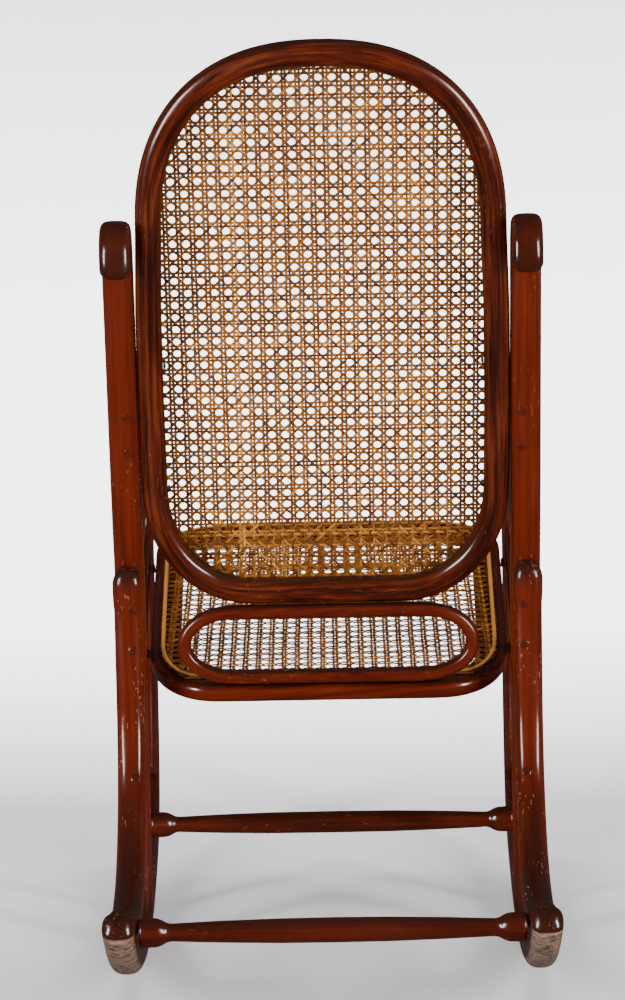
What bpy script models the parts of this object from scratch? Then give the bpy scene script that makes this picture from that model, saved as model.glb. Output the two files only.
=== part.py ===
"""Bentwood rocking chair with a caned seat and back.

Metres, +Z up. The sitter faces -Y, so left is +X. The side frames stand on the floor at z = 0.
Each side frame lies in its own upright plane. The two planes draw together towards the rear.
A point of a side frame is given as (s, z): s is the distance to the rear of the posts' foot
and z the height above the floor.
"""
import math

import bmesh
import bpy
import numpy as np
from mathutils import Vector

for old in list(bpy.data.objects):
    bpy.data.objects.remove(old, do_unlink=True)

MM = 0.001
GAP = 0.3 * MM                  # clearance between pieces that touch

# ---- side frames ----
HALF_SPACING = 221 * MM         # from the middle of the chair to a side frame's plane, at s = 0
SPLAY = 0.035                   # how much the planes draw together per metre to the rear
SHIFT_Y = 15 * MM               # moves s = 0 so that the chair is centred on the origin
POST_WIDTH = 33 * MM            # across the chair
POST_INSET = 1.6 * MM           # the posts sit this much nearer to the middle
MEMBER_WIDTH = 31 * MM
MEMBER_DEPTH = 30 * MM
RUNNER_DEPTH = 31 * MM
ARM_DEPTH = 29 * MM
HOOP_DEPTH = 28 * MM
BRACE_DEPTH = 27 * MM

# ---- runner ----
SOLE_RADIUS = 1350 * MM         # of the curve that rolls on the floor
CONTACT_S = -74.5 * MM          # where the runner touches the floor at rest

# ---- back ----
RECLINE = math.radians(16)
BACK_HALF = 200.4 * MM          # outside, at the widest
BACK_HALF_ARCH = 195.5 * MM     # outside, where the arch springs
BACK_HEIGHT = 630 * MM          # along the slope
ARCH_HEIGHT = 200 * MM
BACK_ROD = 28 * MM
BACK_FOOT = (-2 * MM, 388 * MM)  # (s, z) of the lowest point of the back frame

# ---- seat ----
TILT = math.radians(15)         # the seat rises towards the front by this angle
SEAT_LENGTH = 495 * MM          # along the slope
SEAT_HALF_REAR = 205.5 * MM       # outside, beside the rear corners
SEAT_HALF_FRONT = 216 * MM
RAIL_WIDTH = 35 * MM
RAIL_HEIGHT = 21 * MM
SEAT_REAR = (5 * MM, 284 * MM)  # (s, z) of the seat frame's rear edge at mid height

# ---- small parts ----
PLUG_RADIUS = 5.0 * MM
PLUG_LENGTH = 5.0 * MM
WASHER_RADIUS = 11 * MM


# ---------------------------------------------------------------- materials
def make_material(name, colour, roughness, metallic=0.0):
    """A plain material with one colour."""
    mat = bpy.data.materials.new(name)
    mat.use_nodes = True
    shader = mat.node_tree.nodes["Principled BSDF"]
    shader.inputs["Base Color"].default_value = (*colour, 1.0)
    shader.inputs["Roughness"].default_value = roughness
    shader.inputs["Metallic"].default_value = metallic
    mat.diffuse_color = (*colour, 1.0)
    return mat


FINISHES = {
    "wood": ((0.155, 0.022, 0.006), 0.22, 0.0),
    "cane": ((0.40, 0.20, 0.06), 0.50, 0.0),
    "steel": ((0.06, 0.055, 0.05), 0.45, 1.0),
}


# ---------------------------------------------------------------- curves
def spline(points, closed=False, per_span=24):
    """A smooth curve through the points, as many short steps."""
    pts = np.array(points, dtype=float)
    count = len(pts)
    spans = count if closed else count - 1
    out = []
    for i in range(spans):
        if closed:
            p0, p1, p2, p3 = (pts[(i + k) % count] for k in (-1, 0, 1, 2))
        else:
            p1, p2 = pts[i], pts[i + 1]
            p0 = pts[i - 1] if i > 0 else 2 * p1 - p2
            p3 = pts[i + 2] if i + 2 < count else 2 * p2 - p1
        knots = [0.0]
        for a, b in ((p0, p1), (p1, p2), (p2, p3)):
            knots.append(knots[-1] + max(np.linalg.norm(b - a), 1e-9) ** 0.5)
        t0, t1, t2, t3 = knots
        for t in np.linspace(t1, t2, per_span, endpoint=False):
            a1 = (t1 - t) / (t1 - t0) * p0 + (t - t0) / (t1 - t0) * p1
            a2 = (t2 - t) / (t2 - t1) * p1 + (t - t1) / (t2 - t1) * p2
            a3 = (t3 - t) / (t3 - t2) * p2 + (t - t2) / (t3 - t2) * p3
            b1 = (t2 - t) / (t2 - t0) * a1 + (t - t0) / (t2 - t0) * a2
            b2 = (t3 - t) / (t3 - t1) * a2 + (t - t1) / (t3 - t1) * a3
            out.append((t2 - t) / (t2 - t1) * b1 + (t - t1) / (t2 - t1) * b2)
    if not closed:
        out.append(pts[-1])
    return np.array(out)


def relax(path, closed=False, rounds=12):
    """The same curve with small unevenness taken out; the ends of an open one stay."""
    path = path.copy()
    for _ in range(rounds):
        if closed:
            path = 0.5 * path + 0.25 * (np.roll(path, 1, axis=0) + np.roll(path, -1, axis=0))
        else:
            path[1:-1] = 0.5 * path[1:-1] + 0.25 * (path[:-2] + path[2:])
    return path


def thin_out(path, closed=False, turn=10.0, longest=0.085):
    """Keeps the points where the curve has turned by some degrees or run some length."""
    kept = [0]
    turned = 0.0
    run = 0.0
    last = len(path) - 1
    for i in range(1, last + 1):
        step = path[i] - path[i - 1]
        run += float(np.linalg.norm(step))
        if i < last:
            after = path[i + 1] - path[i]
            cosine = float(step @ after) / (np.linalg.norm(step) * np.linalg.norm(after) + 1e-15)
            turned += math.degrees(math.acos(max(-1.0, min(1.0, cosine))))
        if turned >= turn or run >= longest:
            kept.append(i)
            turned = 0.0
            run = 0.0
    if not closed and kept[-1] != last:
        kept[-1 if len(kept) > 2 and run < 0.004 else len(kept):] = [last]
    return path[kept]


def offset_curve(path, distance):
    """A flat open curve moved sideways, to the left of its direction."""
    tangent = np.gradient(path, axis=0)
    tangent /= np.linalg.norm(tangent, axis=1)[:, None]
    return path + distance * np.stack([-tangent[:, 1], tangent[:, 0]], axis=1)


def side_point(side, s, z, inset=0.0):
    """A point of the left (+1) or right (-1) side frame."""
    return Vector((side * (HALF_SPACING - inset - SPLAY * s), s + SHIFT_Y, z))


# ---------------------------------------------------------------- solids
def rounded_section(width, depth, power, count):
    """A rounded outline; power 2 is an ellipse, more is squarer."""
    ring = []
    for i in range(count):
        angle = 2 * math.pi * (i + 0.5) / count
        c, s = math.cos(angle), math.sin(angle)
        size = (abs(c) ** power + abs(s) ** power) ** (-1.0 / power)
        ring.append((0.5 * width * size * c, 0.5 * depth * size * s))
    return ring


def new_object(name, bm, finish, smooth=True):
    """Turns the mesh being built into a named object with its own material."""
    bmesh.ops.recalc_face_normals(bm, faces=bm.faces)
    mesh = bpy.data.meshes.new(name)
    bm.to_mesh(mesh)
    bm.free()
    colour, roughness, metallic = FINISHES[finish]
    mesh.materials.append(make_material(name + "_" + finish, colour, roughness, metallic))
    mesh.polygons.foreach_set("use_smooth", [smooth] * len(mesh.polygons))
    obj = bpy.data.objects.new(name, mesh)
    bpy.context.scene.collection.objects.link(obj)
    return obj


def sweep(name, finish, centres, across, section, closed=False, dome=0.0, scales=None):
    """Runs a section along a curve.

    The section's first direction is `across` (one vector, or one per point); its second lies in
    the bend. `dome` rounds both ends of an open curve off over that length.
    """
    centres = [Vector(c) for c in centres]
    count = len(centres)
    if isinstance(across, Vector):
        across = [across] * count
    scales = list(scales) if scales is not None else [1.0] * count
    tangents = []
    for i in range(count):
        before = centres[i - 1] if (closed or i > 0) else centres[i]
        after = centres[(i + 1) % count] if (closed or i < count - 1) else centres[i]
        tangents.append((after - before).normalized())
    stations = [(centres[i], tangents[i], across[i], scales[i]) for i in range(count)]
    if dome and not closed:
        steps = ((0.34, 0.95), (0.62, 0.80), (0.84, 0.57), (0.96, 0.30))
        head = [(centres[0] - tangents[0] * dome * k, tangents[0], across[0], scales[0] * f)
                for k, f in steps]
        tail = [(centres[-1] + tangents[-1] * dome * k, tangents[-1], across[-1], scales[-1] * f)
                for k, f in steps]
        stations = head[::-1] + stations + tail
    bm = bmesh.new()
    rings = []
    for centre, tangent, wide, scale in stations:
        wide = (wide - tangent * wide.dot(tangent)).normalized()
        deep = wide.cross(tangent)
        rings.append([bm.verts.new(centre + (wide * u + deep * v) * scale) for u, v in section])
    sides = len(section)
    joints = len(rings) if closed else len(rings) - 1
    for i in range(joints):
        a, b = rings[i], rings[(i + 1) % len(rings)]
        for k in range(sides):
            bm.faces.new((a[k], a[(k + 1) % sides], b[(k + 1) % sides], b[k]))
    if not closed:
        bm.faces.new(rings[0])
        bm.faces.new(rings[-1][::-1])
    return new_object(name, bm, finish)


def plate(name, finish, outline, normal, thickness):
    """A flat plate: the outline is its lower face, and it grows along the normal."""
    bm = bmesh.new()
    low = [bm.verts.new(p) for p in outline]
    high = [bm.verts.new(p + normal * thickness) for p in outline]
    bm.faces.new(low)
    bm.faces.new(high[::-1])
    for k in range(len(low)):
        m = (k + 1) % len(low)
        bm.faces.new((low[k], high[k], high[m], low[m]))
    return new_object(name, bm, finish, smooth=False)


def turned(name, finish, start, axis, profile, sides=20, slant=0.0):
    """A turned piece: (distance, radius) pairs along the axis.

    `slant` shears the ends, so that they lie flat against the slanting side frames.
    """
    axis = axis.normalized()
    helper = Vector((0, 0, 1)) if abs(axis.z) < 0.8 else Vector((0, 1, 0))
    u = helper.cross(axis).normalized()
    v = axis.cross(u)
    length = profile[-1][0]
    bm = bmesh.new()
    rings = []
    for distance, radius in profile:
        ring = []
        for k in range(sides):
            angle = 2 * math.pi * k / sides
            off = u * (radius * math.cos(angle)) + v * (radius * math.sin(angle))
            lean = slant * off.y * (1 - 2 * distance / length)
            ring.append(bm.verts.new(start + axis * (distance + lean) + off))
        rings.append(ring)
    for a, b in zip(rings, rings[1:]):
        for k in range(sides):
            bm.faces.new((a[k], b[k], b[(k + 1) % sides], a[(k + 1) % sides]))
    bm.faces.new(rings[0][::-1])
    bm.faces.new(rings[-1])
    return new_object(name, bm, finish)


def cut_away(target, cutter):
    """Removes the cutter's volume from the target for good, then removes the cutter."""
    mod = target.modifiers.new("cut", "BOOLEAN")
    mod.operation = "DIFFERENCE"
    mod.solver = "EXACT"
    mod.object = cutter
    graph = bpy.context.evaluated_depsgraph_get()
    mesh = bpy.data.meshes.new_from_object(target.evaluated_get(graph))
    target.modifiers.clear()
    old = target.data
    finish = old.materials[0]
    target.data = mesh
    mesh.materials.clear()
    mesh.materials.append(finish)
    bpy.data.meshes.remove(old)
    mesh.name = target.name
    mesh.polygons.foreach_set("use_smooth", [True] * len(mesh.polygons))
    bpy.data.objects.remove(cutter, do_unlink=True)


# ---------------------------------------------------------------- side frame curves, as (s, z) in mm
POST_CURVE = [
    (0, 36), (-6, 100), (-9, 150), (-10, 200), (-9, 250), (-9, 300), (-10, 340), (-8, 380),
    (-2, 415), (6, 440), (18, 470), (36, 520), (50, 568), (64, 618), (80, 673), (95, 725),
    (107, 766), (119, 790), (137, 798), (153, 789), (158, 774), (157, 762),
]
LEG_TOP_CURVE = [(24.5, 414), (23, 402), (21.5, 378), (21.5, 340), (22, 300), (23.5, 262)]
LEG_BEND_CURVE = [(32, 222), (52, 182), (85, 148), (125, 123), (170, 107), (215, 100.5), (250, 97)]
ARM_CURVE = [
    (-455, 400), (-458, 450), (-449, 508), (-423, 552), (-380, 576), (-325, 577), (-260, 557),
    (-190, 527), (-120, 500), (-65, 486), (-25, 489), (0, 507), (10.5, 532),
]
BRACE_CURVE = [
    (-39.5, 292), (-41, 268), (-52, 237), (-82, 203), (-115, 172), (-135, 138), (-141, 105),
    (-141, 72), (-141, 35),
]
FRONT_CURVE = [(-350, 46), (-392, 70), (-423, 105), (-442, 151), (-454, 202), (-462, 250), (-467, 290)]
LEG_END_S = 340 * MM             # where the leg ends above the runner's tail
TAIL_RADIUS = 620 * MM           # the runner's tail bends up more strongly
HOOP_REAR = (-97, 374)          # centre of the hoop's rear bend
HOOP_FRONT = (-366, 445)
HOOP_BEND = 58                   # radius of both bends


def post_centre():
    """The post's curve from its foot on the runner to the end of its scroll."""
    return relax(spline(POST_CURVE)) * MM


SOLE_STEP = 50 * MM              # length of the flats that the rolling curve is made of


def sole_height(s):
    """Height of the runner's centre line on its rolling curve; the middle flat is at z = 0."""
    def drop(distance):
        return SOLE_RADIUS - math.sqrt(SOLE_RADIUS ** 2 - distance ** 2)
    return RUNNER_DEPTH / 2 + drop(s - CONTACT_S) - drop(SOLE_STEP / 2)


def runner_centre():
    """Tail tip, rolling curve in equal flats, then the sweep up to the front."""
    sole = []
    for k in range(-5, 7):
        s = CONTACT_S + (k + 0.5) * SOLE_STEP
        sole.append((s, sole_height(s)))
    sole = sole[::-1]
    s, z = sole[0]
    angle = math.asin((s - CONTACT_S) / SOLE_RADIUS)
    tail = []
    step = 35 * MM
    for _ in range(6):
        angle += 0.5 * step / TAIL_RADIUS
        s += step * math.cos(angle)
        z += step * math.sin(angle)
        angle += 0.5 * step / TAIL_RADIUS
        tail.append((s, z))
    start = [(p[0] / MM, p[1] / MM) for p in sole[-3:]]
    rise = relax(spline(start + FRONT_CURVE), rounds=40)[2 * 24:] * MM
    front = thin_out(rise, turn=6)
    return np.array(tail[::-1] + sole + [tuple(p) for p in front[1:]])


def nearest(path, s):
    """The index of the curve's point nearest to this s on its lower run."""
    return int(np.argmin(np.abs(path[:, 0] - s)))


def leg_centre(runner):
    """Down behind the post, then rearward to lie on the runner's tail."""
    lie = RUNNER_DEPTH / 2 + MEMBER_DEPTH / 2 + GAP
    above = offset_curve(runner, -lie)
    first, last = nearest(runner, LEG_END_S), nearest(runner, 290 * MM)
    lying = [tuple(p / MM) for p in above[first:last + 1][::-1]]
    return relax(spline(LEG_TOP_CURVE + LEG_BEND_CURVE + lying), rounds=10) * MM


def arm_centre(runner, post):
    """Up inside the runner's sweep, over the hoop, rearward and up against the post's front."""
    lap = RUNNER_DEPTH / 2 + ARM_DEPTH / 2 + GAP
    inside = offset_curve(runner, -lap)
    start = int(np.argmin(np.hypot(runner[:, 0] + 424 * MM, runner[:, 1] - 105 * MM)))
    front = inside[start:] / MM
    rest = MEMBER_DEPTH / 2 + ARM_DEPTH / 2 + GAP
    forward = offset_curve(post, rest)
    up = [p / MM for p in forward if 545 * MM < p[1] < 650 * MM][::6]
    points = [tuple(p) for p in front] + ARM_CURVE + [tuple(p) for p in up]
    return relax(spline(points, per_span=12), rounds=8) * MM


def hoop_centre():
    """A long loop with two round ends."""
    axis = np.subtract(HOOP_FRONT, HOOP_REAR)
    axis = axis / np.linalg.norm(axis)
    normal = np.array([-axis[1], axis[0]])
    points = []
    for centre, start in ((HOOP_REAR, 90), (HOOP_FRONT, 270)):
        for angle in range(start, start + 181, 12):
            c, s = math.cos(math.radians(angle)), math.sin(math.radians(angle))
            points.append(np.array(centre) + HOOP_BEND * (c * axis + s * normal))
    return np.array(points) * MM


# ---------------------------------------------------------------- the side frames
def side_member(name, side, curve, width, depth, power=3.6, sides=12, inset=0.0, **options):
    """One bent member of a side frame."""
    centres = [side_point(side, s, z, inset) for s, z in curve]
    across = Vector((1, 0, 0))
    return sweep(name, "wood", centres, across, rounded_section(width, depth, power, sides),
                 **options)


def surface_hole(member, side, centre, outward, inset):
    """Sinks a hole into a member and returns where its plug starts."""
    middle = side_point(side, centre[0], centre[1], inset)
    direction = Vector((0, outward[0], outward[1])).normalized()
    surface = middle + direction * MEMBER_DEPTH / 2
    depth = PLUG_LENGTH + 2 * GAP
    cutter = turned("cutter", "wood", surface - direction * depth, direction,
                    [(0, PLUG_RADIUS + GAP), (depth + 6 * MM, PLUG_RADIUS + GAP)], sides=16)
    cut_away(member, cutter)
    return surface, direction


def make_room(target, side, path, width, depth, inset=0.0, dome=0.0):
    """Flattens the target where another member, given by its path and size, lies against it."""
    cutter = side_member("cutter", side, path, width + 2 * GAP, depth + 2 * GAP, inset=inset,
                         dome=dome + GAP)
    cut_away(target, cutter)


def build_side(side, label):
    """All the bent members of one side, with their plugs."""
    runner = runner_centre()
    post = post_centre()
    leg = leg_centre(runner)
    post_path = thin_out(post)
    leg_path = thin_out(leg)
    side_member(label + "_runner", side, runner, MEMBER_WIDTH, RUNNER_DEPTH, dome=9 * MM)
    back_post = side_member(label + "_back_post", side, post_path, POST_WIDTH, MEMBER_DEPTH,
                            inset=POST_INSET, dome=11 * MM)
    swell = [1.07 if z > 392 * MM else 1.0 for s, z in leg_path]
    rear_leg = side_member(label + "_rear_leg", side, leg_path, MEMBER_WIDTH, MEMBER_DEPTH,
                           dome=20 * MM, scales=swell)
    arm = side_member(label + "_arm", side, thin_out(arm_centre(runner, post)),
                      MEMBER_WIDTH - 2 * MM, ARM_DEPTH, power=2.6, dome=9 * MM)
    for member in (rear_leg, arm):
        make_room(member, side, post_path, POST_WIDTH, MEMBER_DEPTH, POST_INSET, 11 * MM)
        make_room(member, side, runner, MEMBER_WIDTH, RUNNER_DEPTH, 0.0, 9 * MM)
    side_member(label + "_side_hoop", side, hoop_centre(), HOOP_DEPTH, HOOP_DEPTH, power=2.3,
                sides=14, closed=True)
    brace = side_member(label + "_runner_brace", side, thin_out(relax(spline(BRACE_CURVE)) * MM),
                        BRACE_DEPTH, BRACE_DEPTH, power=2.4, sides=14, dome=9 * MM)
    for member in (back_post, brace):
        make_room(member, side, runner, MEMBER_WIDTH, RUNNER_DEPTH, 0.0, 9 * MM)
    plugs = (
        ("upper_arm_plug", back_post, post, 606 * MM, POST_INSET),
        ("lower_arm_plug", back_post, post, 565 * MM, POST_INSET),
        ("upper_leg_plug", rear_leg, leg, 388 * MM, 0.0),
        ("middle_leg_plug", rear_leg, leg, 341 * MM, 0.0),
        ("lower_leg_plug", rear_leg, leg, 196 * MM, 0.0),
    )
    for name, member, curve, height, inset in plugs:
        upper = curve[:, 0] < 140 * MM
        i = int(np.argmin(np.abs(curve[:, 1] - height) + 10 * ~upper))
        tangent = curve[i + 1] - curve[i - 1]
        outward = (abs(tangent[1]), -tangent[0] * np.sign(tangent[1]))
        surface, direction = surface_hole(member, side, curve[i], outward, inset + 5 * MM)
        start = surface - direction * (PLUG_LENGTH + GAP)
        turned(label + "_" + name, "wood", start, direction,
               [(0, PLUG_RADIUS), (PLUG_LENGTH, PLUG_RADIUS), (PLUG_LENGTH + 0.2 * MM, 0.9 * PLUG_RADIUS)],
               sides=16)


# ---------------------------------------------------------------- back
def back_point(u, w, depth=0.0):
    """A point of the back's plane: u across, w up the slope, depth towards the sitter."""
    s = BACK_FOOT[0] + w * math.sin(RECLINE) - depth * math.cos(RECLINE)
    z = BACK_FOOT[1] + w * math.cos(RECLINE) + depth * math.sin(RECLINE)
    return Vector((u, s + SHIFT_Y, z))


def back_outline(inset, steps=12):
    """The back frame's outline, moved inwards; flat bottom, round corners, high arch."""
    corner_u, corner_w = 116 * MM, 132 * MM
    spring = BACK_HEIGHT - ARCH_HEIGHT
    half = []
    foot_u = BACK_HALF - corner_u
    half.append((0.0, inset))
    for i in range(steps + 1):
        angle = math.pi / 2 * i / steps
        half.append((foot_u + (corner_u - inset) * math.sin(angle),
                     corner_w - (corner_w - inset) * math.cos(angle)))
    half.append((BACK_HALF - inset, 0.57 * spring))
    half.append((0.5 * (BACK_HALF + BACK_HALF_ARCH) - inset + 1.2 * MM, 0.80 * spring))
    power = 2.35
    for i in range(2 * steps):
        angle = math.pi / 2 * i / (2 * steps)
        c, s = math.cos(angle), math.sin(angle)
        size = (c ** power + s ** power) ** (-1.0 / power)
        half.append(((BACK_HALF_ARCH - inset) * size * c, spring + (ARCH_HEIGHT - inset) * size * s))
    other = [(-u, w) for u, w in half[1:]][::-1]
    return half + [(0.0, BACK_HEIGHT - inset)] + other


def stile_centre(w):
    """How far the middle of the back frame's side is from the chair's middle at height w."""
    right = [p for p in back_outline(BACK_ROD / 2) if p[0] > 0.5 * BACK_HALF]
    return float(np.interp(w, [p[1] for p in right], [p[0] for p in right]))


def build_back():
    """The frame, its cane, and the strip that holds the cane at the front."""
    normal = back_point(0, 0, 1) - back_point(0, 0, 0)
    inset = BACK_ROD / 2
    centres = [back_point(u, w) for u, w in back_outline(inset)]
    sweep("back_frame", "wood", centres, normal, rounded_section(BACK_ROD, BACK_ROD, 2.5, 14),
          closed=True)
    panel_depth = BACK_ROD / 2 + GAP
    outline = [back_point(u, w, panel_depth) for u, w in back_outline(inset + 4 * MM, steps=9)]
    plate("back_cane", "cane", outline, normal, 2 * MM)
    strip = [back_point(u, w, panel_depth + 2 * MM + GAP + 0.9 * MM)
             for u, w in back_outline(inset + 7.5 * MM, steps=9)]
    sweep("back_cane_binder", "cane", strip, normal, rounded_section(1.8 * MM, 4.5 * MM, 2.4, 6),
          closed=True)
    for side, label in ((1, "left"), (-1, "right")):
        for name, w in (("upper", 280 * MM), ("lower", 138 * MM)):
            inner = back_point(side * (stile_centre(w) - BACK_ROD / 2 - 1.5 * GAP), w)
            turned(label + "_" + name + "_back_screw", "steel", inner, Vector((-side, 0, 0)),
                   [(0, 4.4 * MM), (1.1 * MM, 4.2 * MM), (2.2 * MM, 3.0 * MM), (2.7 * MM, 1.4 * MM)],
                   sides=12)


# ---------------------------------------------------------------- seat
def seat_point(u, w, height=0.0):
    """A point of the seat's plane: u across, w forward up the slope from the rear edge."""
    s = SEAT_REAR[0] - w * math.cos(TILT) + height * math.sin(TILT)
    z = SEAT_REAR[1] + w * math.sin(TILT) + height * math.cos(TILT)
    return Vector((u, s + SHIFT_Y, z))


def seat_outline(inset, steps=8):
    """The seat frame's outline moved inwards: wider at the front, with four round corners."""
    rear_u, rear_w = 78 * MM, 112 * MM
    front_u, front_w = 80 * MM, 70 * MM
    half = [(0.0, inset)]
    for i in range(steps + 1):
        angle = math.pi / 2 * i / steps
        half.append((SEAT_HALF_REAR - rear_u + (rear_u - inset) * math.sin(angle),
                     rear_w - (rear_w - inset) * math.cos(angle)))
    for k in (0.33, 0.67):
        w = rear_w + k * (SEAT_LENGTH - front_w - rear_w)
        half.append((SEAT_HALF_REAR + k * (SEAT_HALF_FRONT - SEAT_HALF_REAR) - inset, w))
    for i in range(steps + 1):
        angle = math.pi / 2 * i / steps
        half.append((SEAT_HALF_FRONT - front_u + (front_u - inset) * math.cos(angle),
                     SEAT_LENGTH - front_w + (front_w - inset) * math.sin(angle)))
    other = [(-u, w) for u, w in half[1:]][::-1]
    return half + [(0.0, SEAT_LENGTH - inset)] + other


def seat_half_width(w):
    """Half the seat frame's outside width at a distance up the slope."""
    rear_w = 112 * MM
    front_w = SEAT_LENGTH - 70 * MM
    k = (w - rear_w) / (front_w - rear_w)
    return SEAT_HALF_REAR + k * (SEAT_HALF_FRONT - SEAT_HALF_REAR)


def build_seat():
    """The frame, its cane with a binder strip, and the washers between frame and hoops."""
    normal = seat_point(0, 0, 1) - seat_point(0, 0, 0)
    centres = [seat_point(u, w) for u, w in seat_outline(RAIL_WIDTH / 2)]
    sweep("seat_frame", "wood", centres, normal,
          rounded_section(RAIL_HEIGHT, RAIL_WIDTH, 3.4, 16), closed=True)
    top = RAIL_HEIGHT / 2 + GAP
    margin = 12 * MM
    rear = 24 * MM              # the ring stands on the rear rail, so the cane stops short of it
    outline = [seat_point(u, max(w, rear), top) for u, w in seat_outline(margin)]
    plate("seat_cane", "cane", outline, normal, 2 * MM)
    strip = [seat_point(u, max(w, rear + 3 * MM), top + 2 * MM + GAP + 0.9 * MM)
             for u, w in seat_outline(margin + 3 * MM)]
    sweep("seat_cane_binder", "cane", strip, normal, rounded_section(1.8 * MM, 4.5 * MM, 2.4, 6),
          closed=True)
    for side, label in ((1, "left"), (-1, "right")):
        for name, w in (("rear", 118 * MM), ("front", 375 * MM)):
            rail = seat_point(side * (seat_half_width(w) + GAP), w)
            s = rail.y - SHIFT_Y
            hoop_face = HALF_SPACING - SPLAY * s - HOOP_DEPTH / 2 - GAP
            length = hoop_face - abs(rail.x) - 0.3 * MM
            turned(label + "_" + name + "_seat_washer", "wood", rail, Vector((side, 0, 0)),
                   [(0.3 * MM, 0.5 * WASHER_RADIUS), (length, 0.5 * WASHER_RADIUS)], sides=14)


# ---------------------------------------------------------------- ring and stretchers
RING_HALF = 169 * MM             # outside, across
RING_BOTTOM = (1 * MM, 304.8 * MM)  # (s, z) of the ring's bottom rod
RING_RISE = 74.5 * MM            # between the centres of its bottom and top rods
RING_LEAN = math.radians(6)
RING_ROD = 15 * MM
RING_DEPTH = 20 * MM


def ring_point(u, w, depth=0.0):
    """A point of the ring's plane: u across, w up, depth towards the sitter."""
    s = RING_BOTTOM[0] + w * math.sin(RING_LEAN) - depth * math.cos(RING_LEAN)
    z = RING_BOTTOM[1] + w * math.cos(RING_LEAN) + depth * math.sin(RING_LEAN)
    return Vector((u, s + SHIFT_Y, z))


def build_ring():
    """The flat oval ring between the back frame and the seat, with its two screws."""
    normal = ring_point(0, 0, 1) - ring_point(0, 0, 0)
    end_u = 54 * MM
    half = RING_HALF - RING_ROD / 2
    points = [(0.0, 0.0)]
    for i in range(17):
        angle = math.pi * i / 16
        points.append((half - end_u + end_u * math.sin(angle),
                       0.5 * RING_RISE * (1 - math.cos(angle))))
    points.append((0.0, RING_RISE))
    points += [(-u, w) for u, w in points[1:-1]][::-1]
    centres = [ring_point(u, w) for u, w in points]
    ring = sweep("lumbar_ring", "wood", centres, normal,
                 rounded_section(RING_DEPTH, RING_ROD, 2.8, 14), closed=True)
    for label, x in (("left", 47 * MM), ("right", -47 * MM)):
        head = ring_point(x, RING_ROD / 2 + GAP, -3 * MM)
        up = ring_point(0, 1) - ring_point(0, 0)
        turned(label + "_ring_screw", "steel", head, up,
               [(0, 4.0 * MM), (0.9 * MM, 3.8 * MM), (1.8 * MM, 2.6 * MM), (2.1 * MM, 1.2 * MM)],
               sides=12)
    return ring


STRETCHER_SHAPE = [
    (0, 13.2), (1.5, 14.4), (10, 14.7), (18, 14.2), (23, 12.4), (27.5, 10.0), (32, 9.0), (38, 9.2),
    (80, 10.8), (140, 12.3),
]


def build_stretcher(name, s, z, reach):
    """A turned stretcher with a bulb and a neck at each end; reach is half its length."""
    half = [(d * MM, r * MM) for d, r in STRETCHER_SHAPE]
    length = 2 * reach
    profile = half + [(reach, 12.6 * MM)] + [(length - d, r) for d, r in half[::-1]]
    start = Vector((-reach, s + SHIFT_Y, z))
    turned(name, "wood", start, Vector((1, 0, 0)), profile, sides=18, slant=SPLAY)


def build_stretchers():
    """One between the front braces, one between the legs' rear ends."""
    front_s = -141 * MM
    rear_s = 330 * MM
    front = HALF_SPACING - SPLAY * front_s - BRACE_DEPTH / 2 - GAP
    rear = HALF_SPACING - SPLAY * rear_s - MEMBER_WIDTH / 2 - GAP
    build_stretcher("front_stretcher", front_s, 106 * MM, front)
    build_stretcher("rear_stretcher", rear_s, 104 * MM, rear)


for chair_side, side_label in ((1, "left"), (-1, "right")):
    build_side(chair_side, side_label)
build_back()
build_seat()
build_ring()
build_stretchers()
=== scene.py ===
"""Looks of the bentwood rocking chair: smooth bent wood, woven cane and a plain studio.

Metres, +Z up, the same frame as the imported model. The sitter faces -Y, so left is +X.
A point of a side frame is given as (s, z): s is the distance to the rear of the posts' foot.
"""

import math

import bpy
import numpy as np
from mathutils import Matrix, Vector


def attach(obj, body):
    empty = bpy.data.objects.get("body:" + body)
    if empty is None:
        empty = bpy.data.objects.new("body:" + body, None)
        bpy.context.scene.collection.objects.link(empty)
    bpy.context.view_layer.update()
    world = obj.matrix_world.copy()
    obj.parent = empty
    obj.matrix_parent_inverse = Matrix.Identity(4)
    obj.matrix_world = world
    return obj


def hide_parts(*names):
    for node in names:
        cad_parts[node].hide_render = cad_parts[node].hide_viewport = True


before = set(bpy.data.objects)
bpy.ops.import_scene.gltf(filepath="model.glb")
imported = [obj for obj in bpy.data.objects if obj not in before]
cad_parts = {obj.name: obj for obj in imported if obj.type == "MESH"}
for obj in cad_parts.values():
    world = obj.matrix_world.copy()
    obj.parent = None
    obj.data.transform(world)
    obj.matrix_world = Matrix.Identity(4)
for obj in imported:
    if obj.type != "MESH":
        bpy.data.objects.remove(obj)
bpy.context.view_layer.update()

MM = 0.001

# ---- side frames ----
HALF_SPACING = 221 * MM
SPLAY = 0.035
SHIFT_Y = 15 * MM
POST_WIDTH = 33 * MM
POST_INSET = 1.6 * MM
MEMBER_WIDTH = 31 * MM
MEMBER_DEPTH = 30 * MM
RUNNER_DEPTH = 31 * MM
ARM_DEPTH = 29 * MM
HOOP_DEPTH = 28 * MM
BRACE_DEPTH = 27 * MM
GAP = 0.3 * MM

# ---- runner ----
SOLE_RADIUS = 1350 * MM
CONTACT_S = -74.5 * MM
SOLE_STEP = 50 * MM
TAIL_RADIUS = 620 * MM
LEG_LIES_FROM_S = 290 * MM
LEG_END_S = 340 * MM
ARM_START = (-424 * MM, 105 * MM)
ARM_ON_POST = (545 * MM, 650 * MM)

# ---- back ----
RECLINE = math.radians(16)
BACK_HALF = 200.4 * MM
BACK_HALF_ARCH = 195.5 * MM
BACK_HEIGHT = 630 * MM
ARCH_HEIGHT = 200 * MM
BACK_ROD = 28 * MM
BACK_FOOT = (-2 * MM, 388 * MM)

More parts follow.
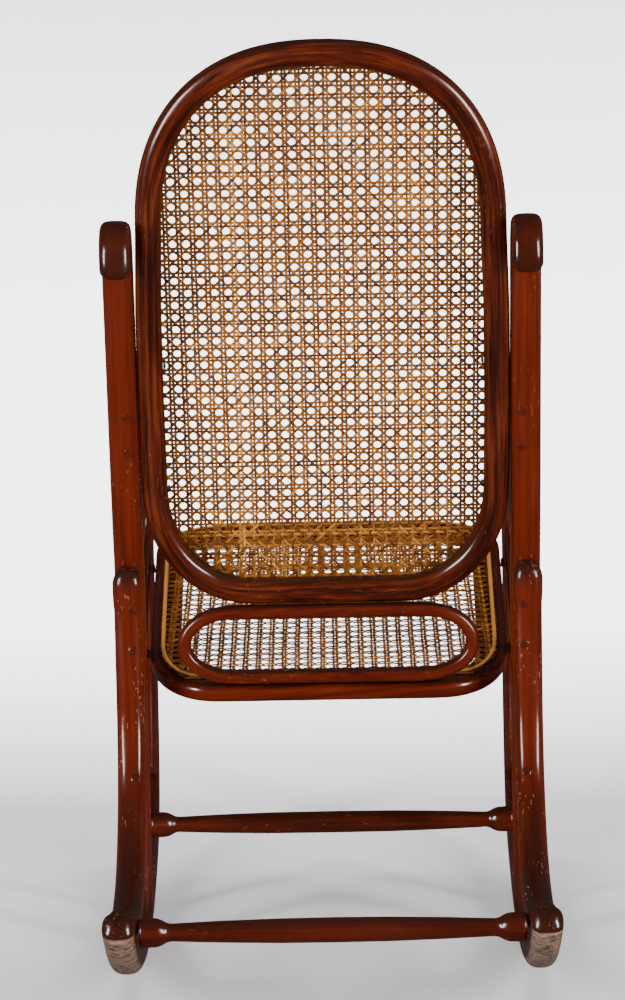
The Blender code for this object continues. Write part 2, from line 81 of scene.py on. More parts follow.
# ---- seat ----
TILT = math.radians(15)
SEAT_LENGTH = 495 * MM
SEAT_HALF_REAR = 205.5 * MM
SEAT_HALF_FRONT = 216 * MM
RAIL_WIDTH = 35 * MM
RAIL_HEIGHT = 21 * MM
SEAT_REAR = (5 * MM, 284 * MM)

# ---- ring ----
RING_HALF = 169 * MM
RING_BOTTOM = (1 * MM, 304.8 * MM)
RING_RISE = 74.5 * MM
RING_LEAN = math.radians(6)
RING_ROD = 15 * MM
RING_DEPTH = 20 * MM

# ---- cane ----
STRAND_WIDTH = 2.7 * MM
STRAND_THICK = 0.9 * MM
PAIR_HALF = 1.95 * MM            # from the middle of a pair to the middle of each strand
BACK_PITCH = (14.3 * MM, 13.6 * MM)
SEAT_PITCH = (14.6 * MM, 14.6 * MM)

SIDES = 32                       # round the bent members
STEP = 7 * MM                    # along the bent members of a side

POST_CURVE = [
    (0, 36), (-6, 100), (-9, 150), (-10, 200), (-9, 250), (-9, 300), (-10, 340), (-8, 380),
    (-2, 415), (6, 440), (18, 470), (36, 520), (50, 568), (64, 618), (80, 673), (95, 725),
    (107, 766), (119, 790), (137, 798), (153, 789), (158, 774), (157, 762),
]
LEG_TOP_CURVE = [(24.5, 414), (23, 402), (21.5, 378), (21.5, 340), (22, 300), (23.5, 262)]
LEG_BEND_CURVE = [
    (32, 222), (52, 182), (85, 148), (125, 123), (170, 107), (215, 100.5), (250, 97),
]
ARM_CURVE = [
    (-455, 400), (-458, 450), (-449, 508), (-423, 552), (-380, 576), (-325, 577), (-260, 557),
    (-190, 527), (-120, 500), (-65, 486), (-25, 489), (0, 507), (10.5, 532),
]
BRACE_CURVE = [
    (-39.5, 292), (-41, 268), (-52, 237), (-82, 203), (-115, 172), (-135, 138), (-141, 105),
    (-141, 72), (-141, 35),
]
FRONT_CURVE = [
    (-350, 46), (-392, 70), (-423, 105), (-442, 151), (-454, 202), (-462, 250), (-467, 290),
]
HOOP_REAR = (-97, 374)
HOOP_FRONT = (-366, 445)
HOOP_BEND = 58
STRETCHER_SHAPE = [
    (0, 13.2), (1.5, 14.4), (10, 14.7), (18, 14.2), (23, 12.4), (27.5, 10.0), (32, 9.0), (38, 9.2),
    (80, 10.8), (140, 12.3),
]

# ---- plugs: height, and how far inside the side frame's middle ----
PLUG_RADIUS = 5 * MM
PLUG_INSET = 5 * MM
ARM_PLUG_HEIGHTS = (606 * MM, 565 * MM)
LEG_PLUG_HEIGHTS = (388 * MM, 341 * MM, 196 * MM)

# ---- stretchers: s and z ----
FRONT_STRETCHER = (-141 * MM, 106 * MM)
REAR_STRETCHER = (330 * MM, 104 * MM)

# ---- stains, and the painted shade of up-facing tops ----
DARK_STAIN = (0.016, 0.0038, 0.0016, 1.0)
END_STAIN = (0.022, 0.0052, 0.0022, 1.0)
# painted shade: the colour that up-facing wood is darkened towards, standing in for a dark ceiling
# above
TOP_SHADE = (0.011, 0.0042, 0.003, 1.0)
WORN_EDGE = (0.40, 0.115, 0.026, 1.0)
PALE_CANE = (0.580, 0.235, 0.036, 1.0)
DARK_CANE = (0.050, 0.013, 0.003, 1.0)

# ---- studio ----
CAMERA_PITCH = math.radians(6.06)
CAMERA_TURN = math.radians(0.44)
CAMERA_ROLL = math.radians(-1.08)
CAMERA_DISTANCE = 2.961
CAMERA_HEIGHT = 0.814
CAMERA_SHIFT = 0.015
LENS = 96.4
SENSOR_HEIGHT = 36.0
FLOOR_RADIUS = 6.5
WALL_BEND = 2.5
WALL_HEIGHT = 6.0
WALL_GLOW = 3.9                  # how brightly the far floor and wall are lit
SIDE_GLOW = 0.15                 # of the walls on the other sides
ROOM_LIGHT = 0.05                # of the dark room above the walls


# ---------------------------------------------------------------- curves
def spline(points, per_span=24):
    """A smooth open curve through the points, as many short steps."""
    pts = np.array(points, dtype=float)
    out = []
    for i in range(len(pts) - 1):
        p1, p2 = pts[i], pts[i + 1]
        p0 = pts[i - 1] if i > 0 else 2 * p1 - p2
        p3 = pts[i + 2] if i + 2 < len(pts) else 2 * p2 - p1
        knots = [0.0]
        for a, b in ((p0, p1), (p1, p2), (p2, p3)):
            knots.append(knots[-1] + max(np.linalg.norm(b - a), 1e-9) ** 0.5)
        t0, t1, t2, t3 = knots
        for t in np.linspace(t1, t2, per_span, endpoint=False):
            a1 = (t1 - t) / (t1 - t0) * p0 + (t - t0) / (t1 - t0) * p1
            a2 = (t2 - t) / (t2 - t1) * p1 + (t - t1) / (t2 - t1) * p2
            a3 = (t3 - t) / (t3 - t2) * p2 + (t - t2) / (t3 - t2) * p3
            b1 = (t2 - t) / (t2 - t0) * a1 + (t - t0) / (t2 - t0) * a2
            b2 = (t3 - t) / (t3 - t1) * a2 + (t - t1) / (t3 - t1) * a3
            out.append((t2 - t) / (t2 - t1) * b1 + (t - t1) / (t2 - t1) * b2)
    out.append(pts[-1])
    return np.array(out)


def relax(path, rounds=12):
    """The same curve with small unevenness taken out; its ends stay."""
    path = path.copy()
    for _ in range(rounds):
        path[1:-1] = 0.5 * path[1:-1] + 0.25 * (path[:-2] + path[2:])
    return path


def even_steps(path, step, closed=False):
    """The same curve with points at equal distances."""
    pts = np.vstack([path, path[:1]]) if closed else path
    run = np.concatenate([[0], np.cumsum(np.linalg.norm(np.diff(pts, axis=0), axis=1))])
    count = max(int(round(run[-1] / step)), 4)
    at = np.linspace(0, run[-1], count + 1)
    if closed:
        at = at[:-1]
    return np.stack([np.interp(at, run, pts[:, k]) for k in range(pts.shape[1])], axis=1)


def offset_curve(path, distance):
    """A flat open curve moved sideways, to the left of its direction."""
    tangent = np.gradient(path, axis=0)
    tangent /= np.linalg.norm(tangent, axis=1)[:, None]
    return path + distance * np.stack([-tangent[:, 1], tangent[:, 0]], axis=1)


def post_centre():
    """The post's curve from its foot on the runner to the end of its scroll."""
    return relax(spline(POST_CURVE)) * MM


def sole_height(s):
    """Height of the runner's centre line on its rolling curve."""
    def drop(distance):
        return SOLE_RADIUS - math.sqrt(SOLE_RADIUS ** 2 - distance ** 2)
    return RUNNER_DEPTH / 2 + drop(s - CONTACT_S)


def runner_centre():
    """Tail tip, rolling curve, then the sweep up to the front."""
    sole = []
    for k in range(-5, 7):
        s = CONTACT_S + (k + 0.5) * SOLE_STEP
        sole.append((s, sole_height(s)))
    sole = sole[::-1]
    s, z = sole[0]
    angle = math.asin((s - CONTACT_S) / SOLE_RADIUS)
    tail = []
    step = 35 * MM
    for _ in range(6):
        angle += 0.5 * step / TAIL_RADIUS
        s += step * math.cos(angle)
        z += step * math.sin(angle)
        angle += 0.5 * step / TAIL_RADIUS
        tail.append((s, z))
    start = [(p[0] / MM, p[1] / MM) for p in sole[-3:]]
    rise = relax(spline(start + FRONT_CURVE), rounds=40)[2 * 24:] * MM
    rough = [(p[0] / MM, p[1] / MM) for p in tail[::-1] + sole]
    return np.vstack([spline(rough) * MM, rise[1:]])


def nearest(path, s):
    """The index of the curve's point nearest to this s on its lower run."""
    low = path[:, 1] + 10.0 * (path[:, 1] > 200 * MM)
    return int(np.argmin(np.abs(path[:, 0] - s) + 10.0 * (low > 1)))


def leg_centre(runner):
    """Down behind the post, then rearward to lie on the runner's tail."""
    lie = RUNNER_DEPTH / 2 + MEMBER_DEPTH / 2 + GAP
    above = offset_curve(runner, -lie)
    first, last = nearest(runner, LEG_END_S), nearest(runner, LEG_LIES_FROM_S)
    lying = [tuple(p / MM) for p in above[first:last + 1:16][::-1]]
    return relax(spline(LEG_TOP_CURVE + LEG_BEND_CURVE + lying), rounds=10) * MM


def arm_centre(runner, post):
    """Up inside the runner's sweep, over the hoop, rearward and up against the post's front."""
    lap = RUNNER_DEPTH / 2 + ARM_DEPTH / 2 + GAP
    inside = offset_curve(runner, -lap)
    away = np.hypot(runner[:, 0] - ARM_START[0], runner[:, 1] - ARM_START[1])
    start = int(np.argmin(away))
    front = inside[start::20] / MM
    rest = MEMBER_DEPTH / 2 + ARM_DEPTH / 2 + GAP
    forward = offset_curve(post, rest)
    up = [p / MM for p in forward if ARM_ON_POST[0] < p[1] < ARM_ON_POST[1]][::12]
    points = [tuple(p) for p in front] + ARM_CURVE + [tuple(p) for p in up]
    return relax(spline(points, per_span=12), rounds=12) * MM


def hoop_centre():
    """A long loop with two round ends."""
    axis = np.subtract(HOOP_FRONT, HOOP_REAR)
    axis = axis / np.linalg.norm(axis)
    normal = np.array([-axis[1], axis[0]])
    points = []
    for centre, start in ((HOOP_REAR, 90), (HOOP_FRONT, 270)):
        for angle in range(start, start + 181, 6):
            c, s = math.cos(math.radians(angle)), math.sin(math.radians(angle))
            points.append(np.array(centre) + HOOP_BEND * (c * axis + s * normal))
    return np.array(points) * MM


def side_points(side, curve, inset=0.0):
    """A side frame's curve as points of the chair."""
    s, z = curve[:, 0], curve[:, 1]
    return np.stack([side * (HALF_SPACING - inset - SPLAY * s), s + SHIFT_Y, z], axis=1)


# ---------------------------------------------------------------- meshes
def rounded_section(width, depth, power, count):
    """A rounded outline; power 2 is an ellipse, more is squarer."""
    angle = 2 * math.pi * (np.arange(count) + 0.5) / count
    c, s = np.cos(angle), np.sin(angle)
    size = (np.abs(c) ** power + np.abs(s) ** power) ** (-1.0 / power)
    return np.stack([0.5 * width * size * c, 0.5 * depth * size * s], axis=1)


def add_piece(name, verts, faces, grain, material, node, tint=None):
    """One piece riding on the chair in place of its CAD node."""
    mesh = bpy.data.meshes.new(name)
    mesh.from_pydata(verts.tolist(), [], faces)
    mesh.validate()
    mesh.polygons.foreach_set("use_smooth", [True] * len(mesh.polygons))
    layer = mesh.attributes.new("grain", "FLOAT_VECTOR", "POINT")
    layer.data.foreach_set("vector", np.asarray(grain, dtype=np.float32).ravel())
    if tint is not None:
        shade = mesh.attributes.new("tint", "FLOAT", "POINT")
        shade.data.foreach_set("value", np.asarray(tint, dtype=np.float32))
    mesh.materials.append(material)
    obj = bpy.data.objects.new(name, mesh)
    bpy.context.scene.collection.objects.link(obj)
    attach(obj, "root")
    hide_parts(node)
    return obj


def tube(centres, across, section, closed=False, dome=0.0, scales=None):
    """Runs a section along a curve and returns vertices, faces and grain coordinates.

    The grain coordinates are two round the section and one along the curve, in metres.
    """
    centres = np.asarray(centres, dtype=float)
    count = len(centres)
    if closed:
        tangent = np.roll(centres, -1, axis=0) - np.roll(centres, 1, axis=0)
    else:
        tangent = np.gradient(centres, axis=0)
    tangent /= np.linalg.norm(tangent, axis=1)[:, None]
    scales = np.ones(count) if scales is None else np.asarray(scales, dtype=float)
    if dome and not closed:
        k = np.sin(np.linspace(0, math.pi / 2, 10))[1:]
        round_off = np.sqrt(np.maximum(1 - k ** 2, 0.0009))
        head = centres[0] - tangent[0] * dome * k[:, None]
        tail = centres[-1] + tangent[-1] * dome * k[:, None]
        scales = np.concatenate([(scales[0] * round_off)[::-1], scales, scales[-1] * round_off])
        centres = np.vstack([head[::-1], centres, tail])
        tangent = np.vstack([np.repeat(tangent[:1], 9, 0), tangent, np.repeat(tangent[-1:], 9, 0)])
    wide = np.asarray(across, dtype=float)
    wide = wide - tangent * (tangent @ wide)[:, None]
    wide /= np.linalg.norm(wide, axis=1)[:, None]
    deep = np.cross(wide, tangent)
    sec = np.asarray(section)
    verts = (centres[:, None, :]
             + wide[:, None, :] * (sec[None, :, 0:1] * scales[:, None, None])
             + deep[:, None, :] * (sec[None, :, 1:2] * scales[:, None, None]))
    run = np.concatenate([[0], np.cumsum(np.linalg.norm(np.diff(centres, axis=0), axis=1))])
    grain = np.zeros_like(verts)
    grain[:, :, 0:2] = sec[None, :, :] * scales[:, None, None]
    if closed:
        lap = run[-1] + np.linalg.norm(centres[0] - centres[-1])
        turn = 2 * math.pi * run / lap
        grain[:, :, 0] += 0.02 * np.sin(turn)[:, None]
        run = np.minimum(run, lap - run)
    grain[:, :, 2] = run[:, None]
    rings, sides = verts.shape[0], verts.shape[1]
    faces = []
    for i in range(rings if closed else rings - 1):
        a, b = i * sides, ((i + 1) % rings) * sides
        for k in range(sides):
            m = (k + 1) % sides
            faces.append((a + k, a + m, b + m, b + k))
    if not closed:
        faces.append(tuple(range(sides))[::-1])
        faces.append(tuple((rings - 1) * sides + k for k in range(sides)))
    return verts.reshape(-1, 3), faces, grain.reshape(-1, 3)


def turned(start, axis, profile, sides, slant=0.0):
    """A turned piece from (distance, radius) pairs, with its ends sheared by slant."""
    axis = axis.normalized()
    helper = Vector((0, 0, 1)) if abs(axis.z) < 0.8 else Vector((0, 1, 0))
    u = helper.cross(axis).normalized()
    v = axis.cross(u)
    length = profile[-1][0]
    verts, grain, faces = [], [], []
    for distance, radius in profile:
        for k in range(sides):
            angle = 2 * math.pi * k / sides
            off = u * (radius * math.cos(angle)) + v * (radius * math.sin(angle))
            lean = slant * off.y * (1 - 2 * distance / length)
            verts.append(tuple(start + axis * (distance + lean) + off))
            grain.append((0.012 * math.cos(angle), 0.012 * math.sin(angle), distance))
    for i in range(len(profile) - 1):
        a, b = i * sides, (i + 1) * sides
        for k in range(sides):
            m = (k + 1) % sides
            faces.append((a + k, b + k, b + m, a + m))
    faces.append(tuple(range(sides))[::-1])
    faces.append(tuple((len(profile) - 1) * sides + k for k in range(sides)))
    return np.array(verts), faces, np.array(grain)


# ---------------------------------------------------------------- materials
def add_node(tree, kind, inputs=None, **settings):
    """A shader node; an input may be a value or another node's output."""
    node = tree.nodes.new(kind)
    for key, value in settings.items():
        setattr(node, key, value)
    for key, value in (inputs or {}).items():
        if isinstance(value, bpy.types.NodeSocket):
            tree.links.new(value, node.inputs[key])
        else:
            node.inputs[key].default_value = value
    return node


def noise(tree, vector, scale, seed, detail=3.0):
    """Noise on coordinates stretched by scale; seed shifts it."""
    stretched = add_node(tree, "ShaderNodeVectorMath", {0: vector, 1: scale}, operation="MULTIPLY")
    moved = add_node(tree, "ShaderNodeVectorMath",
                     {0: stretched.outputs[0], 1: (seed * 3.7, seed * 1.9, seed * 5.3)})
    tex = add_node(tree, "ShaderNodeTexNoise",
                   {"Vector": moved.outputs[0], "Scale": 1.0, "Detail": detail, "Roughness": 0.5})
    return tex.outputs[0]


def remap(tree, value, low, high, to_low=0.0, to_high=1.0):
    """Spreads a range of values onto another, held at its ends."""
    node = add_node(tree, "ShaderNodeMapRange",
                    {0: value, 1: low, 2: high, 3: to_low, 4: to_high}, clamp=True)
    return node.outputs[0]


def combine(tree, kind, a, b):
    """Arithmetic on two values."""
    return add_node(tree, "ShaderNodeMath", {0: a, 1: b}, operation=kind).outputs[0]


def blend_colour(tree, factor, a, b):
    """One colour turning into another."""
    return add_node(tree, "ShaderNodeMix", {0: factor, 6: a, 7: b}, data_type="RGBA").outputs[2]


def ramp(tree, value, stops):
    """A colour for each value."""
    node = add_node(tree, "ShaderNodeValToRGB", {0: value})
    elements = node.color_ramp.elements
    while len(elements) < len(stops):
        elements.new(0.5)
    for element, (position, colour) in zip(elements, stops):
        element.position = position
        element.color = (*colour, 1.0)
    return node.outputs[0]


def grain_vector(tree, own=True):
    """Coordinates along the grain, or plain object coordinates."""
    if own:
        return add_node(tree, "ShaderNodeAttribute", attribute_name="grain").outputs["Vector"]
    return add_node(tree, "ShaderNodeTexCoord").outputs["Object"]


def new_material(name):
    """An empty material and its shader."""
    mat = bpy.data.materials.new(name)
    mat.use_nodes = True
    return mat, mat.node_tree, mat.node_tree.nodes["Principled BSDF"]


def dark_ends(tree, grain, ends):
    """How dark the wood is near the two ends of a member, from 0 to 1.

    `ends` holds the member's length and how far the dark runs in from its start and its end.
    """
    length, start, finish = ends
    along = add_node(tree, "ShaderNodeSeparateXYZ", {0: grain}).outputs[2]
    wander = combine(tree, "MULTIPLY", noise(tree, grain, (50, 50, 30), 3), 30 * MM)
    along = combine(tree, "ADD", along, combine(tree, "SUBTRACT", wander, 15 * MM))
    first = remap(tree, along, start * 0.35, start, 0.8, 0.0)
    last = remap(tree, along, length - finish, length - finish * 0.35, 0.0, 0.8)
    return combine(tree, "MAXIMUM", first, last)


def bare_sole(tree, colour, grain, up, seed):
    """The underside of a runner, rubbed down to bare scuffed wood."""
    scuffs = noise(tree, grain, (120, 120, 260), seed, detail=4.0)
    bare = ramp(tree, remap(tree, scuffs, 0.35, 0.65), [
        (0.0, (0.050, 0.030, 0.022)), (0.4, (0.190, 0.120, 0.090)), (1.0, (0.330, 0.190, 0.120)),
    ])
    under = remap(tree, up, -0.12, -0.34)
    return blend_colour(tree, under, colour, bare)


def wood_material(name, seed, streaks=1.0, wear=0.2, own=True, stain=0.0, ends=None, sole=False):
    """Red-brown stained beech under old varnish: fibres, painted shade on tops, orange scratches.

    More `streaks` gives more contrast between the fibres, more `wear` more scratches, and more
    `stain` a darker wood. `own` says that the mesh has grain coordinates of its own.
    """
    mat, tree, shader = new_material(name)
    grain = grain_vector(tree, own)
    fibres = noise(tree, grain, (250, 250, 7), seed)
    fine = noise(tree, grain, (1100, 1100, 22), seed + 1, detail=2.0)
    patches = noise(tree, grain, (40, 40, 9), seed + 2, detail=2.0)
    tone = combine(tree, "MULTIPLY", fibres, 0.55)
    tone = combine(tree, "ADD", tone, combine(tree, "MULTIPLY", fine, 0.17))
    tone = combine(tree, "ADD", tone, combine(tree, "MULTIPLY", patches, 0.28))
    spread = 0.30 / streaks
    tone = remap(tree, tone, 0.5 - spread, 0.5 + spread)
    colour = ramp(tree, tone, [
        (0.0, (0.012, 0.0024, 0.0010)), (0.35, (0.062, 0.0054, 0.0006)),
        (0.65, (0.112, 0.0102, 0.0007)), (1.0, (0.215, 0.0360, 0.0032)),
    ])
    colour = blend_colour(tree, stain, colour, DARK_STAIN)
    if ends is not None:
        colour = blend_colour(tree, dark_ends(tree, grain, ends), colour, END_STAIN)
    normal = add_node(tree, "ShaderNodeNewGeometry").outputs["Normal"]
    up = add_node(tree, "ShaderNodeSeparateXYZ", {0: normal}).outputs[2]
    # painted shade: the more a surface faces up, the darker it is painted, as if it faced a dark
    # ceiling
    top_shade = combine(tree, "MULTIPLY", remap(tree, up, 0.25, 0.95), 0.82)
    colour = blend_colour(tree, top_shade, colour, TOP_SHADE)
    if sole:
        colour = bare_sole(tree, colour, grain, up, seed + 5)
    scratches = remap(tree, noise(tree, grain, (420, 420, 130), seed + 3, detail=2.0), 0.64, 0.70)
    where = remap(tree, noise(tree, grain, (26, 26, 12), seed + 4, detail=1.0), 0.53, 0.62)
    worn = combine(tree, "MULTIPLY", combine(tree, "MULTIPLY", scratches, where), wear)
    colour = blend_colour(tree, worn, colour, WORN_EDGE)
    tree.links.new(colour, shader.inputs["Base Color"])
    dull = remap(tree, patches, 0.3, 0.7, 0.15, 0.27)
    dull = combine(tree, "ADD", dull, combine(tree, "MULTIPLY", worn, 0.3))
    tree.links.new(dull, shader.inputs["Roughness"])
    bump = add_node(tree, "ShaderNodeBump", {"Height": fine, "Strength": 0.10, "Distance": 0.0004})
    tree.links.new(bump.outputs[0], shader.inputs["Normal"])
    shader.inputs["Coat Weight"].default_value = 0.20
    shader.inputs["Coat Roughness"].default_value = 0.07
    return mat


def cane_material(name, seed):
    """Split rattan: golden brown, each strand its own shade, with fine fibres along it."""
    mat, tree, shader = new_material(name)
    grain = grain_vector(tree)
    fibres = noise(tree, grain, (1600, 1600, 40), seed, detail=2.0)
    mottle = noise(tree, grain, (60, 60, 30), seed + 1, detail=3.0)
    value = combine(tree, "ADD", combine(tree, "MULTIPLY", fibres, 0.35),
                    combine(tree, "MULTIPLY", mottle, 0.65))
    value = remap(tree, value, 0.34, 0.66)
    colour = ramp(tree, value, [
        (0.0, (0.046, 0.011, 0.0010)), (0.5, (0.142, 0.038, 0.002)), (1.0, (0.310, 0.100, 0.005)),
    ])
    tint = add_node(tree, "ShaderNodeAttribute", attribute_name="tint").outputs["Fac"]
    pale = remap(tree, tint, 0.5, 1.0)
    dark = combine(tree, "MULTIPLY", remap(tree, tint, 0.5, 0.0), 0.75)
    colour = blend_colour(tree, pale, colour, PALE_CANE)
    colour = blend_colour(tree, dark, colour, DARK_CANE)
    tree.links.new(colour, shader.inputs["Base Color"])
    tree.links.new(remap(tree, mottle, 0.3, 0.7, 0.36, 0.58), shader.inputs["Roughness"])
    shader.inputs["Specular IOR Level"].default_value = 0.3
    bump = add_node(tree, "ShaderNodeBump", {"Height": fibres, "Strength": 0.2, "Distance": 0.0002})
    tree.links.new(bump.outputs[0], shader.inputs["Normal"])
    return mat


def steel_material(name, seed):
    """Old dark screw heads with brown tarnish."""
    mat, tree, shader = new_material(name)
    place = grain_vector(tree, own=False)
    tarnish = noise(tree, place, (420, 420, 420), seed, detail=4.0)
    colour = ramp(tree, tarnish, [(0.35, (0.035, 0.026, 0.020)), (0.65, (0.130, 0.115, 0.100))])
    tree.links.new(colour, shader.inputs["Base Color"])
    tree.links.new(remap(tree, tarnish, 0.3, 0.7, 0.55, 0.32), shader.inputs["Roughness"])
    shader.inputs["Metallic"].default_value = 0.9
    return mat


# ---------------------------------------------------------------- side frames
def bent_member(name, centres, width, depth, power, seed, node, **options):
    """One smooth bent member in place of its CAD node."""
    wear = options.pop("wear", 0.2)
    streaks = options.pop("streaks", 1.0)
    stain = options.pop("stain", 0.0)
    sole = options.pop("sole", False)
    ends = options.pop("ends", None)
    across = options.pop("across", (1.0, 0.0, 0.0))
    section = rounded_section(width, depth, power, SIDES)
    verts, faces, grain = tube(centres, across, section, **options)
    if ends is not None:
        ends = (float(grain[:, 2].max()), *ends)
    material = wood_material(name + "_wood", seed, streaks=streaks, wear=wear, stain=stain,
                             ends=ends, sole=sole)
    return add_piece(name, verts, faces, grain, material, node)


def build_plug(name, side, curve, height, inset, seed):
    """The round end of a wooden plug, a little proud of the member it closes."""
    upper = curve[:, 0] < 140 * MM
    i = int(np.argmin(np.abs(curve[:, 1] - height) + 10 * ~upper))
    tangent = curve[i + 1] - curve[i - 1]
    outward = Vector((0, abs(tangent[1]), -tangent[0] * np.sign(tangent[1]))).normalized()
    middle = Vector(side_points(side, curve[i:i + 1], inset)[0])
    start = middle + outward * (MEMBER_DEPTH / 2 - 2 * MM)
    profile = [(0, PLUG_RADIUS), (2.0 * MM, PLUG_RADIUS), (2.3 * MM, PLUG_RADIUS - 0.3 * MM),
               (2.36 * MM, 3.4 * MM), (2.38 * MM, 0.4 * MM)]
    verts, faces, grain = turned(start, outward, profile, 24)
    material = wood_material(name + "_wood", seed, wear=0.2, stain=0.35)
    return add_piece(name + "_end", verts, faces, grain, material, name)


def build_side(side, label, seed):
    """All the bent members of one side, with their plugs."""
    runner = runner_centre()
    post = post_centre()
    leg = leg_centre(runner)

    def along(curve, inset=0.0, closed=False):
        return side_points(side, even_steps(curve, STEP, closed), inset)

    bent_member(label + "_runner_bend", along(runner), MEMBER_WIDTH, RUNNER_DEPTH, 2.6, seed,
                label + "_runner", dome=9 * MM, sole=True, stain=0.35, wear=0.6,
                ends=(40 * MM, 40 * MM))
    bent_member(label + "_back_post_bend", along(post, POST_INSET), POST_WIDTH, MEMBER_DEPTH, 3.6,
                seed + 10, label + "_back_post", dome=11 * MM, streaks=0.7,
                ends=(60 * MM, 60 * MM))
    leg_path = even_steps(leg, STEP)
    swell = 1.0 + 0.07 * np.clip((leg_path[:, 1] - 385 * MM) / (14 * MM), 0, 1)
    bent_member(label + "_rear_leg_bend", side_points(side, leg_path), MEMBER_WIDTH, MEMBER_DEPTH,
                2.9, seed + 20, label + "_rear_leg", dome=20 * MM, scales=swell, streaks=0.7,
                wear=0.9, ends=(30 * MM, 240 * MM))
    bent_member(label + "_arm_bend", along(arm_centre(runner, post)), MEMBER_WIDTH - 2 * MM,
                ARM_DEPTH, 2.6, seed + 30, label + "_arm", dome=9 * MM)
    bent_member(label + "_side_hoop_bend", along(hoop_centre(), closed=True), HOOP_DEPTH,
                HOOP_DEPTH, 2.3, seed + 40, label + "_side_hoop", closed=True)
    brace = relax(spline(BRACE_CURVE)) * MM
    bent_member(label + "_brace_bend", along(brace), BRACE_DEPTH, BRACE_DEPTH, 2.4, seed + 50,
                label + "_runner_brace", dome=9 * MM)
    plugs = (
        ("_upper_arm_plug", post, ARM_PLUG_HEIGHTS[0], POST_INSET),
        ("_lower_arm_plug", post, ARM_PLUG_HEIGHTS[1], POST_INSET),
        ("_upper_leg_plug", leg, LEG_PLUG_HEIGHTS[0], 0.0),
        ("_middle_leg_plug", leg, LEG_PLUG_HEIGHTS[1], 0.0),
        ("_lower_leg_plug", leg, LEG_PLUG_HEIGHTS[2], 0.0),
    )
    for k, (name, curve, height, inset) in enumerate(plugs):
        build_plug(label + name, side, curve, height, inset + PLUG_INSET, seed + 60 + k)


# ---------------------------------------------------------------- back, seat and ring
def back_point(u, w, depth=0.0):
    """A point of the back's plane: u across, w up the slope, depth towards the sitter."""
    s = BACK_FOOT[0] + w * math.sin(RECLINE) - depth * math.cos(RECLINE)
    z = BACK_FOOT[1] + w * math.cos(RECLINE) + depth * math.sin(RECLINE)
    return np.array([u, s + SHIFT_Y, z])


def back_outline(inset, steps=12):
    """The back frame's outline, moved inwards; flat bottom, round corners, high arch."""
    corner_u, corner_w = 116 * MM, 132 * MM
    spring = BACK_HEIGHT - ARCH_HEIGHT
    half = [(0.0, inset)]
    foot_u = BACK_HALF - corner_u
    for i in range(steps + 1):
        angle = math.pi / 2 * i / steps
        half.append((foot_u + (corner_u - inset) * math.sin(angle),
                     corner_w - (corner_w - inset) * math.cos(angle)))
    half.append((BACK_HALF - inset, 0.57 * spring))
    half.append((0.5 * (BACK_HALF + BACK_HALF_ARCH) - inset + 1.2 * MM, 0.80 * spring))
    power = 2.35
    for i in range(2 * steps):
        angle = math.pi / 2 * i / (2 * steps)
        c, s = math.cos(angle), math.sin(angle)
        size = (c ** power + s ** power) ** (-1.0 / power)
        half.append(((BACK_HALF_ARCH - inset) * size * c,
                     spring + (ARCH_HEIGHT - inset) * size * s))
    other = [(-u, w) for u, w in half[1:]][::-1]
    return np.array(half + [(0.0, BACK_HEIGHT - inset)] + other)


def seat_point(u, w, height=0.0):
    """A point of the seat's plane: u across, w forward up the slope from the rear edge."""
    s = SEAT_REAR[0] - w * math.cos(TILT) + height * math.sin(TILT)
    z = SEAT_REAR[1] + w * math.sin(TILT) + height * math.cos(TILT)
    return np.array([u, s + SHIFT_Y, z])


def seat_outline(inset, steps=16):
    """The seat frame's outline moved inwards: wider at the front, with four round corners."""
    rear_u, rear_w = 78 * MM, 112 * MM
    front_u, front_w = 80 * MM, 70 * MM
    half = [(0.0, inset)]
    for i in range(steps + 1):
        angle = math.pi / 2 * i / steps
        half.append((SEAT_HALF_REAR - rear_u + (rear_u - inset) * math.sin(angle),
                     rear_w - (rear_w - inset) * math.cos(angle)))
    for i in range(steps + 1):
        angle = math.pi / 2 * i / steps
        half.append((SEAT_HALF_FRONT - front_u + (front_u - inset) * math.cos(angle),
                     SEAT_LENGTH - front_w + (front_w - inset) * math.sin(angle)))
    other = [(-u, w) for u, w in half[1:]][::-1]
    return np.array(half + [(0.0, SEAT_LENGTH - inset)] + other)


def seat_cane_outline(margin, rear):
    """The outline of the seat's cane, which stops short of the ring on the rear rail."""
    outline = seat_outline(margin)
    outline[:, 1] = np.maximum(outline[:, 1], rear)
    return outline


def ring_point(u, w, depth=0.0):
    """A point of the ring's plane: u across, w up, depth towards the sitter."""
    s = RING_BOTTOM[0] + w * math.sin(RING_LEAN) - depth * math.cos(RING_LEAN)
    z = RING_BOTTOM[1] + w * math.cos(RING_LEAN) + depth * math.sin(RING_LEAN)
    return np.array([u, s + SHIFT_Y, z])


def ring_outline():
    """The oval ring's centre line."""
    end_u = 54 * MM
    half = RING_HALF - RING_ROD / 2
    points = [(0.0, 0.0)]
    for i in range(33):
        angle = math.pi * i / 32
        points.append((half - end_u + end_u * math.sin(angle),
                       0.5 * RING_RISE * (1 - math.cos(angle))))
    points.append((0.0, RING_RISE))
    points += [(-u, w) for u, w in points[1:-1]][::-1]
    return np.array(points)


def smooth_loop(outline, rounds=6):
    """An even, softly rounded closed outline."""
    loop = even_steps(outline, 5 * MM, closed=True)
    for _ in range(rounds):
        loop = 0.5 * loop + 0.25 * (np.roll(loop, 1, axis=0) + np.roll(loop, -1, axis=0))
    return loop


